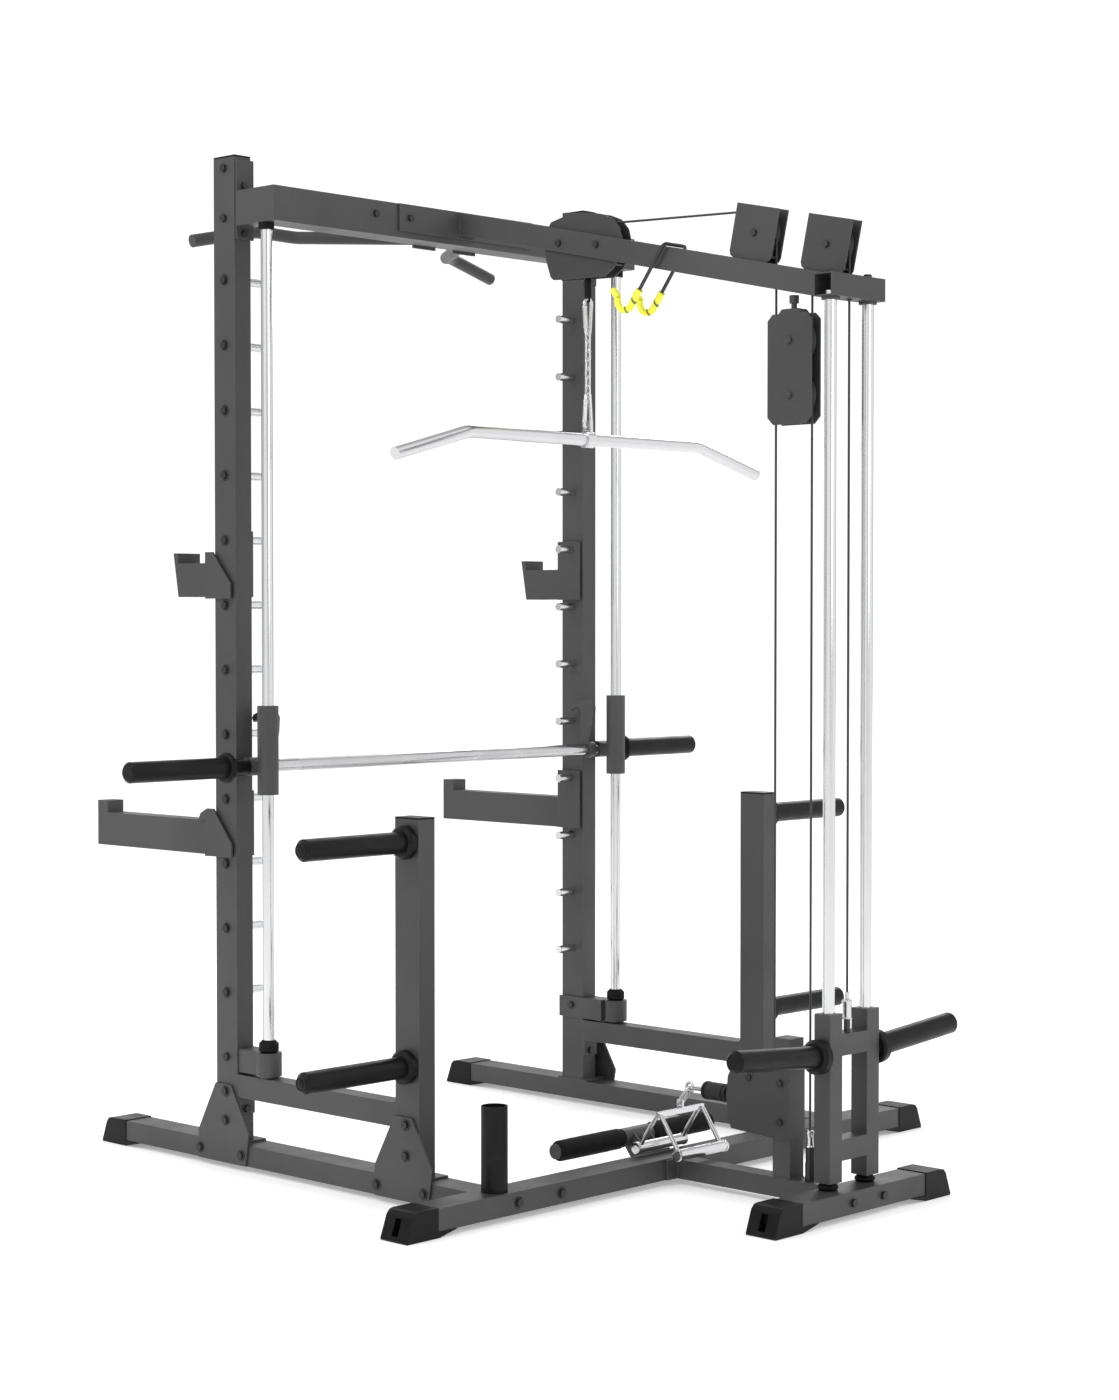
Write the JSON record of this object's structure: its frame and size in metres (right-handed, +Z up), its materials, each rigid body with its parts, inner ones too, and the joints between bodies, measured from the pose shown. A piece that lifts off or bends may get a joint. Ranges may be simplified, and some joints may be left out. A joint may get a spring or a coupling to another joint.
{
  "type": "power cage",
  "caption": "Open power cage with a guided lifting bar, lock pegs, J-hooks, spotter arms, plate storage posts and a cable tower with lat bar, low row handle and plate carriage.",
  "frame": {"origin": "centre of the plan outline, on the floor under the rubber feet", "axes": "+X across the cage to the user's left when facing out of the open front, +Y from the open front to the cable tower, +Z up"},
  "size_m": [1.792, 1.778, 2.209],
  "materials": {
    "frame_paint": "satin powder coat",
    "cap_black": "moulded, matt",
    "rubber_black": "moulded rubber",
    "foam_black": "closed foam",
    "chrome": "polished",
    "dark_steel": "black oxide",
    "sleeve_black": "satin black coat",
    "cable_black": "coated wire rope",
    "hook_green": "soft dipped coating",
    "pulley_black": "moulded nylon"
  },
  "bodies": {
    "cage": {"side_rails": "frame_paint", "rear_crossmember": "frame_paint", "center_rail": "frame_paint", "tower_base": "frame_paint", "foot_caps": "cap_black", "uprights": "frame_paint", "tube_caps": "cap_black", "corner_plates": "frame_paint", "storage_posts": "frame_paint", "storage_pegs": "sleeve_black", "side_braces": "frame_paint", "guide_rods": "chrome", "rod_brackets": "frame_paint", "rod_bumpers": "rubber_black", "crossbar": "frame_paint", "pull_up_bar": "dark_steel", "top_beam": "frame_paint", "tower_crosspiece": "frame_paint", "tower_rods": "chrome", "lock_pegs": "chrome", "frame_bolts": "dark_steel", "pulley_plates": "frame_paint", "pulley_axles": "dark_steel", "low_pulley_post": "frame_paint", "cable_guides": "cable_black", "cable_row_end": "cable_black", "footrest": "frame_paint", "bar_holder": "frame_paint"},
    "smith_slider": {"smith_carriages": "frame_paint"},
    "smith_bar": {"smith_bar": "chrome", "smith_sleeves": "sleeve_black", "smith_hooks": "frame_paint"},
    "weight_carriage": {"weight_carriage": "frame_paint", "weight_horns": "sleeve_black", "cable_carriage_run": "cable_black"},
    "lat_drop": {"lat_chain": "chrome", "lat_bar": "chrome", "cable_lat_drop": "cable_black"},
    "row_end": {"row_hardware": "chrome", "row_handle": "chrome"},
    "floating_block": {"floating_block": "frame_paint", "cable_block_wraps": "cable_black", "cable_block_front": "cable_black", "cable_block_rear": "cable_black", "cable_row_front": "cable_black", "cable_row_rear": "cable_black"},
    "guide_pulley": {"guide_pulley": "pulley_black"},
    "over_pulley": {"over_pulley": "pulley_black"},
    "rear_pulley_1": {"rear_pulley_1": "pulley_black"},
    "rear_pulley_2": {"rear_pulley_2": "pulley_black"},
    "block_pulley_upper": {"block_pulley_upper": "pulley_black"},
    "block_pulley_lower": {"block_pulley_lower": "pulley_black"},
    "low_pulley": {"low_pulley": "pulley_black"},
    "j_hook_right": {"j_hook_right": "frame_paint"},
    "j_hook_left": {"j_hook_left": "frame_paint"},
    "spotter_arm_right": {"spotter_arm_right": "frame_paint"},
    "spotter_arm_left": {"spotter_arm_left": "frame_paint"},
    "band_hook": {"band_hook": "dark_steel", "band_hook_tips": "hook_green"},
    "foot_rollers": {"foot_rollers": "foam_black"}
  },
  "joints": [
    {"name": "smith_lift", "type": "slide", "parent": "cage", "child": "smith_slider", "axis": [0, 0, 1], "range_m": [-0.4239, 0.9891]},
    {"name": "smith_turn", "type": "hinge", "parent": "smith_slider", "child": "smith_bar", "pos_m": [0, -0.356, 0.884], "axis": [1, 0, 0], "range_deg": [0, 28]},
    {"name": "lat_pull", "type": "slide", "parent": "cage", "child": "lat_drop", "axis": [0, 0, -1], "range_m": [0, 0.6], "deforming": ["cable_lat_drop"]},
    {"name": "carriage_lift", "type": "slide", "parent": "cage", "child": "weight_carriage", "axis": [0, 0, 1], "range_m": [0, 0.6], "deforming": ["cable_carriage_run"]},
    {"name": "row_pull", "type": "slide", "parent": "cage", "child": "row_end", "axis": [0, -0.342, 0.9397], "range_m": [0, 0.45]},
    {"name": "block_drop", "type": "slide", "parent": "cage", "child": "floating_block", "axis": [0, 0, -1], "range_m": [0, 0.226], "deforming": ["cable_block_front", "cable_block_rear", "cable_row_front", "cable_row_rear"]},
    {"name": "over_pulley_spin", "type": "hinge", "parent": "cage", "child": "over_pulley", "pos_m": [0, 0.167, 2.017], "axis": [1, 0, 0], "range_deg": [-0.01, 731.45]},
    {"name": "rear_pulley_1_spin", "type": "hinge", "parent": "cage", "child": "rear_pulley_1", "pos_m": [0, 0.602, 2.00046], "axis": [1, 0, 0], "range_deg": [-0.01, 731.45]},
    {"name": "rear_pulley_2_spin", "type": "hinge", "parent": "cage", "child": "rear_pulley_2", "pos_m": [0, 0.79, 1.95947], "axis": [1, 0, 0], "range_deg": [-0.01, 731.45]},
    {"name": "block_pulley_upper_spin", "type": "hinge", "parent": "floating_block", "child": "block_pulley_upper", "pos_m": [0, 0.696, 1.773], "axis": [1, 0, 0], "range_deg": [-731.45, 0.01]},
    {"name": "low_pulley_spin", "type": "hinge", "parent": "cage", "child": "low_pulley", "pos_m": [0, 0.602, 0.253], "axis": [1, 0, 0], "range_deg": [-548.59, 0.01]},
    {"name": "block_pulley_lower_spin", "type": "hinge", "parent": "floating_block", "child": "block_pulley_lower", "pos_m": [0, 0.696, 1.661], "axis": [1, 0, 0], "range_deg": [-0.01, 274.3]},
    {"name": "guide_pulley_spin", "type": "hinge", "parent": "cage", "child": "guide_pulley", "pos_m": [0, 0.055, 2.03], "axis": [1, 0, 0], "continuous": true},
    {"name": "j_hook_right_tilt", "type": "hinge", "parent": "cage", "child": "j_hook_right", "pos_m": [0.5035, -0.425, 1.376], "axis": [-1, 0, 0], "range_deg": [0, 60]},
    {"name": "j_hook_left_tilt", "type": "hinge", "parent": "cage", "child": "j_hook_left", "pos_m": [-0.5035, -0.425, 1.376], "axis": [-1, 0, 0], "range_deg": [0, 60]},
    {"name": "spotter_arm_right_tilt", "type": "hinge", "parent": "cage", "child": "spotter_arm_right", "pos_m": [0.5035, -0.425, 0.8108], "axis": [-1, 0, 0], "range_deg": [0, 60]},
    {"name": "spotter_arm_left_tilt", "type": "hinge", "parent": "cage", "child": "spotter_arm_left", "pos_m": [-0.5035, -0.425, 0.8108], "axis": [-1, 0, 0], "range_deg": [0, 60]},
    {"name": "band_hook_slide", "type": "slide", "parent": "cage", "child": "band_hook", "axis": [0, 0.977, -0.213], "range_m": [-0.05, 0.1]},
    {"name": "foot_rollers_spin", "type": "hinge", "parent": "cage", "child": "foot_rollers", "pos_m": [0, 0.259, 0.082], "axis": [1, 0, 0], "continuous": true}
  ],
  "couplings": [
    {"joint": "carriage_lift", "follows": "lat_pull", "ratio": 1},
    {"joint": "block_drop", "follows": "row_pull", "ratio": 0.5},
    {"joint": "over_pulley_spin", "follows": "lat_pull", "rad_per_m": 21.277},
    {"joint": "rear_pulley_1_spin", "follows": "lat_pull", "rad_per_m": 21.277},
    {"joint": "rear_pulley_2_spin", "follows": "lat_pull", "rad_per_m": 21.277},
    {"joint": "block_pulley_upper_spin", "follows": "lat_pull", "rad_per_m": -21.277},
    {"joint": "low_pulley_spin", "follows": "row_pull", "rad_per_m": -21.277},
    {"joint": "block_pulley_lower_spin", "follows": "row_pull", "rad_per_m": 10.638}
  ]
}
